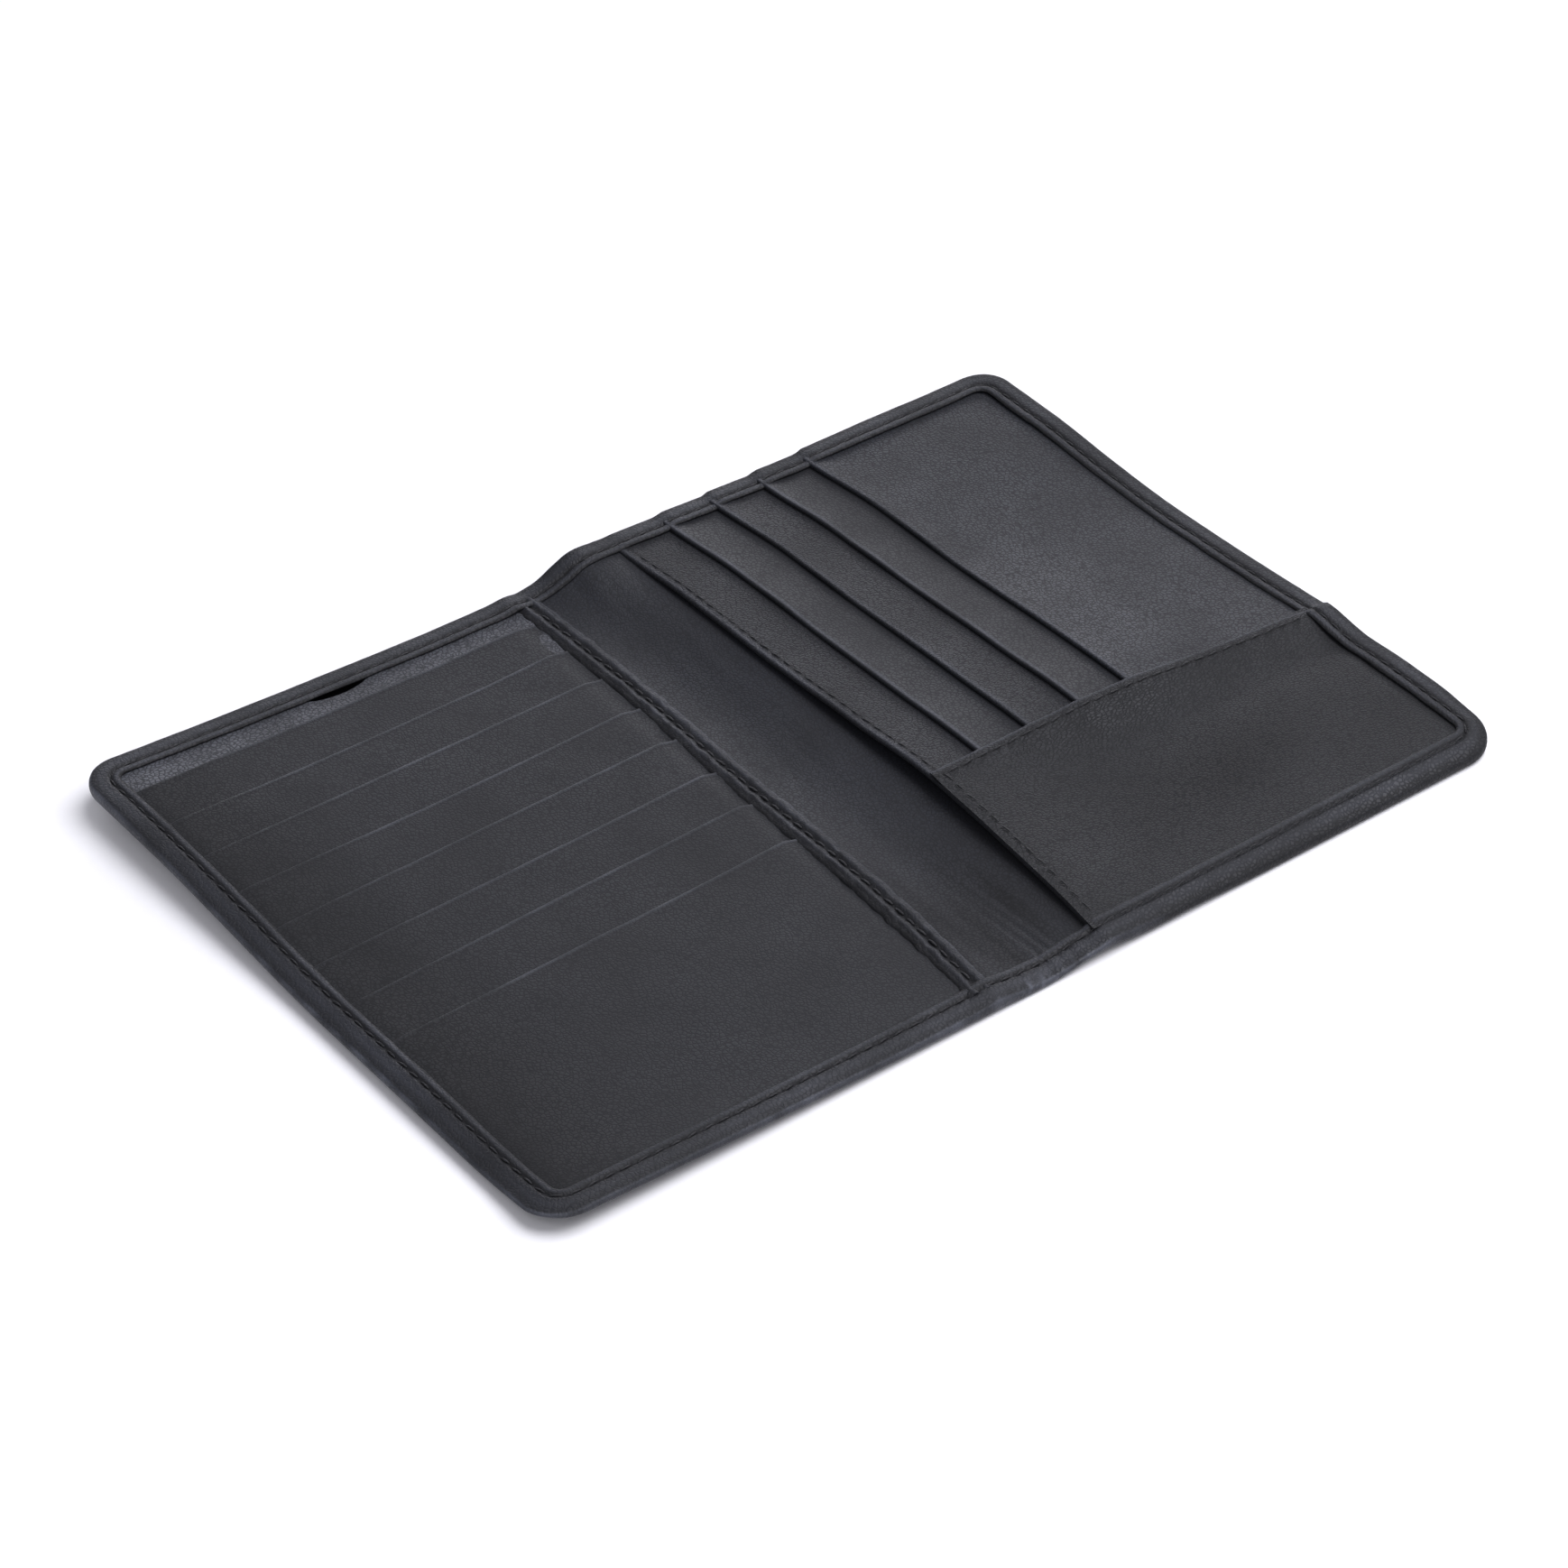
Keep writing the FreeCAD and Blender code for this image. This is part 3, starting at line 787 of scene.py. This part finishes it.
def back_panel_lay(u, w):
    x = -104.0 + 93.0 * u
    bite = np.clip(1.0 - ((x - NOTCH_X) / NOTCH_HALF) ** 2, 0.0, 1.0)
    far = 72.4 - NOTCH_DEPTH * np.sqrt(bite) * (bite > 0)
    y = -72.0 + (far + 72.0) * np.interp(w, (0, 0.55, 1), (0, 0.90, 1))
    return x, y, card_plane(x, y) - 0.05 - 0.5 * ramp(-y, -60.0, 14.0)


bm = bmesh.new()
laid_grid(bm, 186, 44, back_panel_lay)
back_left = finish_piece("back_panel_left_hide", bm, back_leather, 0.4)
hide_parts("back_panel_left")
follow(back_left, "left_half")

# %% [markdown]
# ## Card pockets
# Each pocket is laid from its tucked edge, round the mouth and down towards the near end, and it
# sinks a little as it goes under the next one. A thin bead along the mouth is the pressed fold. The
# ends are tucked under the hem and the binding strip.


# %% Card pockets
LEFT_ENDS = (-2.0, -1.8, -1.5, -1.3, -1.2, -1.3, -1.4, -2.0)
RIGHT_ENDS = (0.0, 1.3, 2.0, 1.9, 2.0, 1.3, 1.4, 0.4)
POCKET_LEFT = -103.5
POCKET_WIDTH = 90.6


def mouth_line(k, x):
    share = np.clip((x + 102.0) / 89.5, 0.0, 1.0)
    bow = 0.25 * np.sin(math.pi * share) * (-1) ** k
    knee = -0.7 * ramp(x, -16.5, 3.0)
    return MOUTH_Y[k] + LEFT_ENDS[k] + (RIGHT_ENDS[k] - LEFT_ENDS[k]) * share + bow + knee


def card_pocket(k):
    last = k == 7
    reach = 54.0 if last else 15.5
    radius = 0.2

    def lay(u, w):
        x = POCKET_LEFT + POCKET_WIDTH * u
        walk = walk_along(w, 2.0, radius, reach)
        inward, drop = fold(walk, radius)
        mouth = mouth_line(k, x)
        y = mouth - np.where(last, inward * (mouth + 72.0) / reach, inward)
        sink = 0.46 * np.clip(inward / 15.0, 0.0, 1.0)
        bead = 0.14 * np.exp(-(((inward - 0.42) / 0.32) ** 2)) * (walk > 0)
        soft = 0.05 * wobble(x, y, 1.3 + k, 17.0)
        under_tuck = -0.12 * ramp(-walk, 0.3, 1.0)
        tucked = 0.3 * (ramp(x, -17.5, 3.5) + 1.0 - ramp(x, POCKET_LEFT, 3.5))
        shape = 0.26 - sink + bead + drop + soft + under_tuck - tucked
        return x, y, card_plane(x, y) + shape

    bm = bmesh.new()
    laid_grid(bm, 90, 34 if not last else 60, lay)
    piece = finish_piece(f"card_pocket_{k + 1}_hide", bm, pocket_leather, 0.12)
    px, py, pz = points(piece)
    gap = mouth_line(k, px) - py
    # The fold is painted lighter as a painted highlight, a painted shadow lies just past it under the lip, and the
    # pockets' left ends are painted darker as painted shade.
    fold_highlight = 0.6 * line_at(gap, 0.35, 0.32) * (0.75 + 0.25 * wobble(px, 0 * px, 1.9 + k, 9.0))
    paint_wear_and_light(piece, fold_highlight - 0.35 * line_at(gap, -0.1, 0.25) - 0.5 * ramp(-px, 72.0, 30.0))
    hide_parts(f"card_pocket_{k + 1}")
    follow(piece, "left_half")


for k in range(8):
    card_pocket(k)

# %% [markdown]
# ## Binding strip
# A strip of cover hide is folded in three and stitched down the middle to bind the pockets' inner
# ends. The stitch pulls a groove between two soft ridges, and the ridges are never even.


# %% Binding strip
def strip_line(y):
    """The strip's stitched middle line, which strays from straight along the spine."""
    places = (-76, -62, -48, -20, 7, 22, 37, 76)
    return STRIP_X + swell(places, (-3.8, -2.5, -1.5, -0.7, -0.3, 0.4, 0.9, 0.7), y)


def strip_face(across, y):
    """Height over the card plane at a distance across the strip, from -2.6 to 2.6."""
    ridge = 0.5 * np.exp(-(((np.abs(across) - 1.3) / 0.7) ** 2))
    groove = -0.18 * np.exp(-((across / 0.4) ** 2))
    lumps = 0.07 * wobble(y, across, 2.6, 4.1) + 0.10 * wobble(y, -across, 6.1, 2.2)
    return 0.34 + ridge + groove + lumps


def strip_lay(u, w):
    y = -PANEL_END + 2 * PANEL_END * w
    steps = (0, 0.08, 0.16, 0.84, 0.92, 1)
    across = np.interp(u, steps, (-2.9, -2.95, -2.5, 2.6, 2.75, 2.2))
    tucked = np.interp(u, steps, (0.8, 0.42, 0.05, 0.0, 0.8, 1.5))
    jag = 0.16 * wobble(y, 0 * y, 8.3, 4.2)
    x = strip_line(y) + across * (1 + 0.05 * wobble(y, 0 * y, 3.3, 6.0)) + jag
    return x, y, card_plane(x, y) + strip_face(across, y) - tucked - 0.1


bm = bmesh.new()
laid_grid(bm, 30, 230, strip_lay)
strip = finish_piece("binding_strip_hide", bm, cover_leather, 0.25)
px, py, pz = points(strip)
off = px - strip_line(py)
uneven = 0.7 + 0.4 * wobble(py, off, 3.1, 3.0)
# The ridges and the right edge are painted lighter as painted highlights; the groove is pressed dark, and a painted
# shadow runs along the left edge against the pockets.
highlight_lines = 0.5 * line_at(off, 2.3, 0.3) + 0.45 * line_at(np.abs(off), 1.25, 0.45) * uneven
paint_wear_and_light(strip, highlight_lines - 0.7 * line_at(off, 0.0, 0.22) - 0.5 * line_at(off, -2.6, 0.2))
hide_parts("binding_strip")
follow(strip, "left_half")

# %% [markdown]
# ## Spine lining
# One soft sheet lines the spine between the binding strip and the base panel. It bends at both
# folds, so it is laid as two sheets that meet on the middle line. Closing the wallet has pressed
# long wrinkles into it, close together at the near end.


# %% Lining
def lining_face(x, y):
    near = ramp(-y, 20.0, 45.0)
    drift = x + 0.05 * y + 1.2 * wobble(y, 0 * y, 4.4, 60.0)
    fade = (0.4 + 0.6 * wobble(x, 0.3 * y, 5.5, 16.0)) * np.exp(-(((x - 3.0) / 4.5) ** 2))
    wrinkle = (0.02 + 0.13 * near) * np.sin(drift * 3.1) * fade
    return LINING(x, y) + wrinkle + 0.06 * wobble(x, 0.4 * y, 9.0, 8.0)


def lining(name, x0, x1, body):
    box = ((x0, x1), (-PANEL_END, PANEL_END))
    piece = plain_sheet(name, box, (64, 150), lining_face, lining_leather, 0.4)
    px, py, _ = points(piece)
    # The near end is painted darker in streaks along the spine: painted shade of its wrinkles.
    streaks = 0.7 + 0.5 * wobble(px, 0.15 * py, 3.7, 7.0)
    paint_wear_and_light(piece, -0.55 * ramp(-py, 20.0, 40.0) * streaks)
    follow(piece, body)
    return piece


lining_left = lining("spine_lining_left", -12.0, 0.0, "bend_left")
lining("spine_lining_right", 0.0, 24.0, "bend_right")
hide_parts("spine_lining")

# %% [markdown]
# ## Right half: base panel and side pockets
# The base panel's free edge is rolled and stitched, and stands off the lining, which puts a deep
# shadow under it. Four side pockets step up behind it, each with a fat rounded lip.


# %% Edges of the right half
def base_edge(y):
    places = (-76, -60, -42, -23, 0, 30, 76)
    line = swell(places, (10.9, 12.5, 13.2, 13.6, 13.2, 12.8, 12.4), y)
    return line - 1.2 * ramp(y, 50.0, 24.0)


def side_edge(k, y):
    """The side pockets' lips lean towards the spine over their last 25 mm at the far end."""
    return SIDE_EDGE_X[k - 1] + 0.25 * wobble(y, 0 * y, 2.0 + k, 70.0) - 1.5 * ramp(y, 48.0, 25.0)


print("lips halfway along:", [round(float(edge), 1) for edge in (base_edge(0.0), side_edge(1, 0.0))])

# %% [markdown]
# ## A panel with a rolled lip
# The base panel and the side pockets are the same kind of piece: a lip rolled over a core on the
# spine side, and a flat that runs on under the hem at the right. One function lays them all.


# %% A panel with a rolled lip
UNDER_HEM = 103.0


def lipped_panel(name, edge, level, radius, body_y, material, lip_rise, count=(64, 120)):
    y0, y1 = body_y

    def lay(u, w):
        y = y0 + (y1 - y0) * w
        start = edge(y)
        walk = walk_along(u, 3.0, radius, 90.0)
        inward, drop = fold(walk, radius)
        stretch = np.where(walk > 2.5, (UNDER_HEM - start - 2.0) / 88.0, 1.0)
        inward = np.where(walk > 2.5, 2.0 + (inward - 2.0) * stretch, inward)
        x = start + inward
        rise = lip_rise * np.exp(-((inward / 3.2) ** 2)) * (1 + 0.2 * wobble(y, 0 * y, 1.1, 14.0))
        rise = rise * (1.0 - ramp(-y, 24.5, 5.0) * (y1 - y0 < 130))
        return x, y, base_face(x, y) + level(x, y) + rise + drop

    bm = bmesh.new()
    laid_grid(bm, count[0], count[1], lay)
    piece = finish_piece(f"{name}_hide", bm, material, 0.2)
    px, py, pz = points(piece)
    gap = px - edge(py)
    seam = 0.6 * line_at(gap, 1.9, 0.3) if name == "base_panel" else 0.0
    # The lip is painted lighter as a painted highlight; the base panel's stitch line is pressed dark.
    paint_wear_and_light(piece, 0.4 * line_at(gap, 0.7, 0.45) - seam)
    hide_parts(name)
    follow(piece, "right_half")
    start = float(np.mean(edge(np.array([y0, 0.5 * (y0 + y1), y1]))))


print("the panels run on to x =", UNDER_HEM, "mm")

# %% [markdown]
# ## Lay the right half
# The back panel goes down first, then the base panel over it, and then the four side pockets, each
# one layer higher. Their near ends flatten out where the ticket pocket will cover them.


# %% Lay the right half
def back_face(x, y):
    return base_face(x, y) - 1.0


back_right = plain_sheet(
    "back_panel_right_hide", ((16, 103.5), (-72, 72)), (60, 90), back_face, pocket_leather, 0.4
)
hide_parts("back_panel_right")
follow(back_right, "right_half")


def no_rise(x, y):
    return 0.0 * x


def pocket_level(k, x, y):
    return LAYER * k * (1.0 - 0.85 * ramp(-y, 26.5, 8.0)) + 0 * x


ALONG = (-PANEL_END, PANEL_END)
lipped_panel("base_panel", base_edge, no_rise, 0.6, ALONG, grained_leather, 0.25, (70, 150))
for k, hide in zip((1, 2, 3, 4), (pocket_leather, grained_leather, pocket_leather, pebbled_leather_painted_sheen)):
    lipped_panel(
        f"side_pocket_{k}",
        lambda y, k=k: side_edge(k, y),
        lambda x, y, k=k: pocket_level(k, x, y),
        0.5,
        (-38.0, PANEL_END),
        hide,
        0.42,
    )

# %% [markdown]
# ## Ticket pocket
# A low pocket across the foot of the right half holds tickets. Its mouth is folded and stitched
# 1.8 mm down. It drapes over the ends of the side pockets, whose lips show through as soft steps.


# %% Ticket pocket
def ticket_face(x, y):
    depth = ticket_lean(x) - y
    soft_steps = LAYER * sum(ramp(x, edge - 8.0, 10.0) for edge in SIDE_EDGE_X)
    drape = soft_steps * (1 - ramp(depth, 0.5, 12.0)) + 0.3 * (1 - ramp(depth, 0.0, 6.0))
    buckle = 0.35 * np.exp(-((x - 74.0) / 11.0) ** 2 - ((y + 55.0) / 7.0) ** 2)
    buckle = buckle - 0.25 * np.exp(-((x - 60.0) / 9.0) ** 2 - ((y + 47.0) / 8.0) ** 2)
    return base_face(x, y) + drape + 0.75 + buckle


def ticket_lay(u, w):
    x = np.interp(u, (0, 0.06, 1), (base_edge(-45.0) - 0.1, 17.5, 103.6))
    walk = walk_along(1 - w, 3.0, 0.3, 50.0)
    inward, drop = fold(walk, 0.3)
    mouth = ticket_lean(x)
    y = mouth - inward * np.where(walk > 2.5, (mouth + 72.6) / 50.0, 1.0)
    x = x + (base_edge(y) - base_edge(-45.0)) * (1 - ramp(x, 14.0, 30.0))
    rise = 0.15 * np.exp(-((inward / 1.4) ** 2)) - 0.35 * ramp(x, 99.5, 3.0)
    return x, y, ticket_face(x, y) + drop + rise


bm = bmesh.new()
laid_grid(bm, 120, 80, ticket_lay)
ticket = finish_piece("ticket_pocket_hide", bm, ticket_leather, 0.2)
px, py, pz = points(ticket)
gap = ticket_lean(px) - py
# A broad band across the middle is painted darker as painted shade of the pocket's undulation; the fold is painted
# lighter as a painted highlight, and the stitch line is pressed dark.
painted_shade_band = np.exp(-((px - 58.0) / 24.0) ** 2 - ((py + 52.0 - 0.12 * (px - 58.0)) / 9.0) ** 2)
paint_wear_and_light(ticket, 0.45 * line_at(gap, 0.3, 0.3) - 0.6 * line_at(gap, 1.8, 0.3) - 0.45 * painted_shade_band)
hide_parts("ticket_pocket")
follow(ticket, "right_half")

# %% [markdown]
# ## Stitches
# Lockstitch at 3.4 mm pitch in tonal black thread. Each stitch is a small bent bead of six sides,
# because there are several hundred of them, and both ends dive into the leather.


# %% Rows of stitches
STITCH = 2.5
PITCH = 3.4
DIVE = 0.16  # how far each end goes down into the leather


def sew(name, path, height, nodes, body, width=0.42):
    """path is a list of (x, y) points in mm that the row runs through, and height says how high."""
    path = np.asarray(path, float)
    gaps = np.hypot(*np.diff(path, axis=0).T)
    far = np.concatenate([[0], np.cumsum(gaps)])
    spots = np.arange(PITCH / 2, far[-1] - PITCH / 3, PITCH)
    bm = bmesh.new()
    for n, spot in enumerate(spots):
        a = [np.interp(spot - STITCH / 2, far, path[:, i]) for i in (0, 1)]
        b = [np.interp(spot + STITCH / 2, far, path[:, i]) for i in (0, 1)]
        mid = ((a[0] + b[0]) / 2, (a[1] + b[1]) / 2)
        za, zb, zm = (float(height(*map(np.atleast_1d, p))[0]) for p in (a, b, mid))
        lean = math.radians(7 + 5 * math.sin(n * 2.1))
        turn = math.atan2(b[1] - a[1], b[0] - a[0]) + lean
        length = math.hypot(b[0] - a[0], b[1] - a[1])
        made = bmesh.ops.create_uvsphere(bm, u_segments=6, v_segments=5, radius=1.0)["verts"]
        for v in made:
            along, side, up = v.co.z, v.co.x, v.co.y
            px = along * length / 2
            lift = zm + (zb - za) / 2 * along - DIVE * along * along
            v.co = (
                (mid[0] + px * math.cos(turn) - side * width / 2 * math.sin(turn)) * MM,
                (mid[1] + px * math.sin(turn) + side * width / 2 * math.cos(turn)) * MM,
                (lift + up * width * 0.36) * MM,
            )
    print(len(spots), "stitches")
    piece = finish_piece(name, bm, thread)
    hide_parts(*nodes)
    follow(piece, body)


# %% [markdown]
# ## Sew the rows
# The hem is sewn all the way round in two runs that meet on the middle line of the spine. Then come
# the binding strip, the base panel's edge and the ticket pocket's mouth. Each row lies in the groove
# of its own seam, so its height comes from the face it is sewn through.


# %% Sew the rows
def outline_path(side, inset):
    """The stitched line of one half, from the near end of the spine round to the far end."""
    r = CORNER - inset
    cx, cy = HALF_X - CORNER, HALF_Y - CORNER
    line = [(0.0, -(HALF_Y - inset))]
    line += [(cx + r * math.cos(t), -cy + r * math.sin(t)) for t in np.linspace(-math.pi / 2, 0, 9)]
    line += [(cx + r * math.cos(t), cy + r * math.sin(t)) for t in np.linspace(0, math.pi / 2, 9)]
    line += [(0.0, HALF_Y - inset)]
    return [(side * x, y) for x, y in line]


def hem_groove(x, y):
    return hem_face(x, y) - 0.12


left_nodes = ["hem_thread_left", "hem_thread_spine"]
sew("hem_stitches_left", outline_path(-1, STITCH_LINE), hem_groove, left_nodes, "bend_left")
sew("hem_stitches_right", outline_path(1, STITCH_LINE), hem_groove, ["hem_thread_right"], "bend_right")
ys = np.linspace(-69.0, 69.5, 60)
sew(
    "binding_stitches",
    list(zip(strip_line(ys), ys)),
    lambda x, y: card_plane(x, y) + 0.42,
    ["binding_thread"],
    "left_half",
    0.55,
)
sew(
    "base_stitches",
    list(zip(base_edge(ys) + 1.9, ys)),
    lambda x, y: base_face(x, y) + 0.26 + 0.95 * ramp(ticket_lean(x) - y, 0.0, 1.2),
    ["base_thread"],
    "right_half",
)
xs = np.linspace(16.0, 102.5, 50)
sew(
    "ticket_stitches",
    list(zip(xs, ticket_lean(xs) - 1.8)),
    lambda x, y: ticket_face(x, y) + 0.24,
    ["ticket_thread"],
    "right_half",
)

# %% [markdown]
# ## Table
# A pale matt table, so that the dark leather is lit from below its rim as it would be on a desk.


# %% Table
def table_finish():
    """Matt white laminate, almost one even white with no gloss."""
    material, tree = blank("matt_white_laminate")
    place = add(tree, "ShaderNodeTexCoord").outputs["Object"]
    speck = add(tree, "ShaderNodeTexNoise", values={"Scale": 300.0, "Detail": 2.0}, links={"Vector": place})
    whites = {"Color1": linear("#fafafa"), "Color2": linear("#ffffff")}
    colour = add(tree, "ShaderNodeMixRGB", values=whites, links={"Fac": speck.outputs["Fac"]})
    matt = {"Roughness": 0.9, "Specular IOR Level": 0.2}
    shader = add(tree, "ShaderNodeBsdfPrincipled", values=matt, links={"Base Color": colour.outputs["Color"]})
    add(tree, "ShaderNodeOutputMaterial", links={"Surface": shader.outputs["BSDF"]})
    return material


bm = bmesh.new()
bmesh.ops.create_grid(bm, x_segments=4, y_segments=4, size=3.0, matrix=Matrix.Translation((0, 0, -0.0001)))
table = finish_piece("table_top", bm, table_finish())

# %% [markdown]
# ## Light
# An even white surround and three big soft boxes. The key hangs over the right half. The one behind
# the wallet rakes along the leather, which is what brings out the sheen and the grain. The weak one
# at the front left opens up the shadows under the lips.


# %% Light
def soft_box(name, spot, aim, size, power):
    data = bpy.data.lights.new(name, "AREA")
    data.shape = "RECTANGLE"
    data.size, data.size_y = size
    data.energy = power
    data.color = (0.95, 0.945, 1.0)
    box = bpy.data.objects.new(name, data)
    box.location = spot
    box.rotation_euler = (Vector(aim) - Vector(spot)).to_track_quat("-Z", "Y").to_euler()
    bpy.context.scene.collection.objects.link(box)
    return box


soft_box("key_box", (0.60, -0.35, 1.4), (0, 0, 0), (1.3, 1.3), 27.0)
soft_box("fill_box", (-0.75, -0.75, 0.8), (0, 0, 0), (1.2, 1.2), 5.5)
soft_box("back_box", (0.85, 0.95, 0.34), (0.06, 0.03, 0), (1.0, 0.36), 5.0)
world = bpy.data.worlds.new("white_surround")
world.use_nodes = True
surround = world.node_tree.nodes["Background"]
surround.inputs["Color"].default_value = linear("#e8e8f6")
surround.inputs["Strength"].default_value = 0.24
bpy.context.scene.world = world
bpy.context.scene.view_settings.view_transform = "Standard"
print("lights:", [light.name for light in bpy.data.lights])

# %% [markdown]
# ## Camera
# A long lens from the near left, looking down at 38 degrees. RIGHT, DOWN and FORWARD are the
# camera's own axes, and SPOT is where it stands, in metres.


# %% Camera
RIGHT = Vector((0.79416, -0.60754, -0.01387))
DOWN = Vector((-0.37893, -0.47723, -0.79288))
FORWARD = Vector((0.47509, 0.63493, -0.60922))
SPOT = Vector((-0.41084, -0.54624, 0.52328))
lens = bpy.data.cameras.new("camera")
lens.sensor_width = 36.0
lens.lens = 106.669
camera = bpy.data.objects.new("camera", lens)
camera.matrix_world = Matrix.Translation(SPOT) @ Matrix((RIGHT, -DOWN, -FORWARD)).transposed().to_4x4()
bpy.context.scene.collection.objects.link(camera)
bpy.context.scene.camera = camera
print("camera", [round(c, 3) for c in camera.location], "lens", lens.lens)
